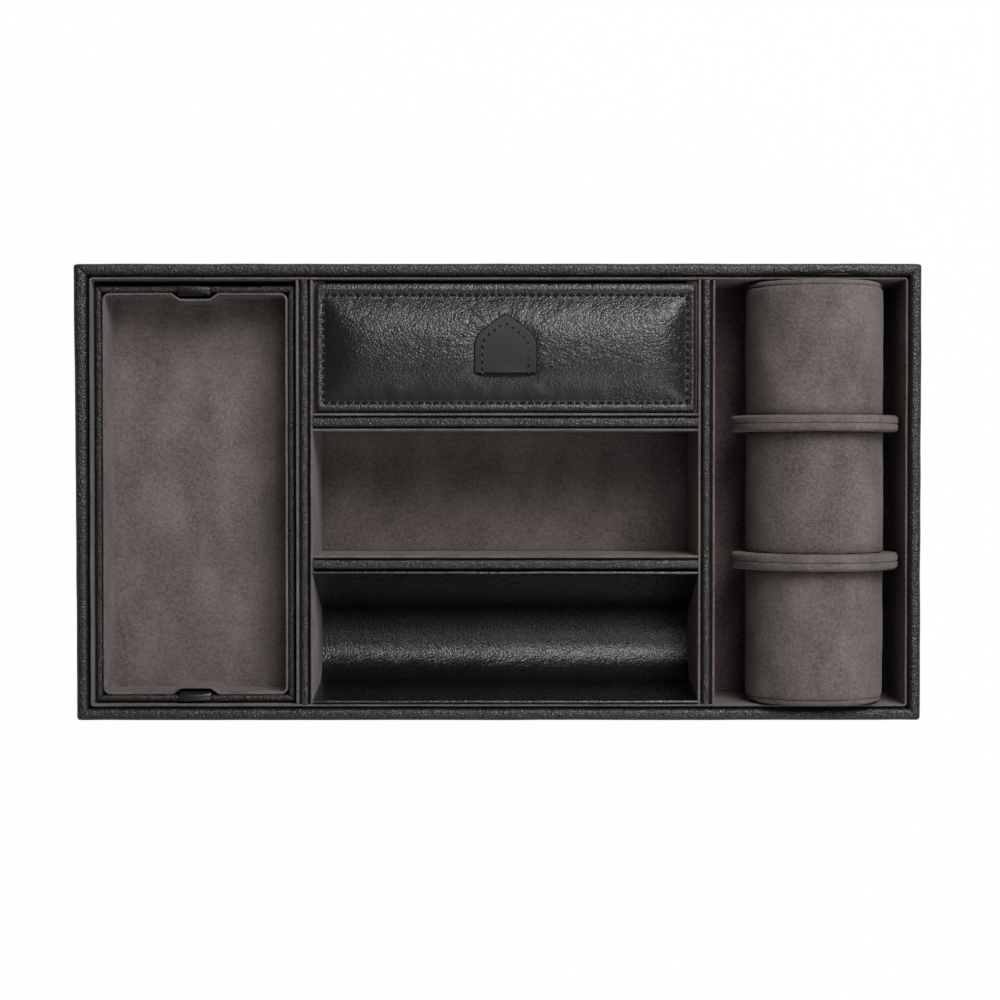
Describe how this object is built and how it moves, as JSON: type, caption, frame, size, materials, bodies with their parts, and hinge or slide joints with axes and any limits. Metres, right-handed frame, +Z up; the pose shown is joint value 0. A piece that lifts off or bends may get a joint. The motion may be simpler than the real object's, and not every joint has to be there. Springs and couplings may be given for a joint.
{
  "type": "valet tray",
  "caption": "Wide shallow leather-wrapped case with suede-lined bays, a lift-out tray, a padded lid over one bay, a curved trough and a removable watch cuff roll.",
  "frame": {"origin": "centre of the underside of the case", "axes": "+X to the right along the case's long side as its front is faced, +Y to the back, +Z up"},
  "size_m": [0.37, 0.2, 0.0827],
  "materials": {
    "leather": "pebbled black leather with a soft sheen",
    "suede": "matte grey-brown suede",
    "board": "plain board",
    "card": "rolled card",
    "foam": "soft padding",
    "base_felt": "thin black felt"
  },
  "bodies": {
    "case": {"base_board": "board", "base_cover": "base_felt", "frame_board_front": "board", "frame_board_back": "board", "frame_board_left": "board", "frame_board_right": "board", "frame_leather_front": "leather", "frame_leather_back": "leather", "frame_leather_left": "leather", "frame_leather_right": "leather", "frame_lining": "suede", "left_divider_board": "board", "left_divider_leather": "leather", "left_divider_lining_left": "suede", "left_divider_lining_right": "suede", "right_divider_board": "board", "right_divider_leather": "leather", "right_divider_lining_left": "suede", "right_divider_lining_right": "suede", "rear_cross_divider_board": "board", "rear_cross_divider_leather": "leather", "rear_cross_divider_lining_front": "suede", "rear_cross_divider_lining_rear": "suede", "front_cross_divider_board": "board", "front_cross_divider_leather": "leather", "front_cross_divider_lining_rear": "suede", "left_floor_pad": "suede", "lid_bay_floor_pad": "suede", "middle_floor_pad": "suede", "cuff_floor_pad": "suede", "trough_sling": "leather", "insert_ledges": "suede", "lid_ledges": "suede"},
    "insert_tray": {"insert_leather": "leather", "insert_cover": "leather", "insert_wall_front": "board", "insert_wall_back": "board", "insert_wall_left": "board", "insert_wall_right": "board", "insert_base": "board", "insert_lining": "suede", "insert_floor_pad": "suede", "insert_tab_front": "leather", "insert_tab_back": "leather"},
    "lid": {"lid_leather": "leather", "lid_foam": "foam", "lid_board": "board", "lid_lining": "suede", "lid_tab": "leather"},
    "cuff_roll": {"cuff_tube": "card", "cuff_sleeve_front": "suede", "cuff_sleeve_middle": "suede", "cuff_sleeve_rear": "suede", "cuff_flange_front_outer": "suede", "cuff_flange_front_inner": "suede", "cuff_flange_rear_inner": "suede", "cuff_flange_rear_outer": "suede", "cuff_end_front": "suede", "cuff_end_rear": "suede"}
  },
  "joints": [
    {"name": "insert_lift", "type": "slide", "parent": "case", "child": "insert_tray", "axis": [0, 0, 1], "range_m": [0, 0.06]},
    {"name": "lid_lift", "type": "slide", "parent": "case", "child": "lid", "axis": [0, 0, 1], "range_m": [0, 0.04]},
    {"name": "cuff_lift", "type": "slide", "parent": "case", "child": "cuff_roll", "axis": [0, 0, 1], "range_m": [0, 0.085]}
  ]
}
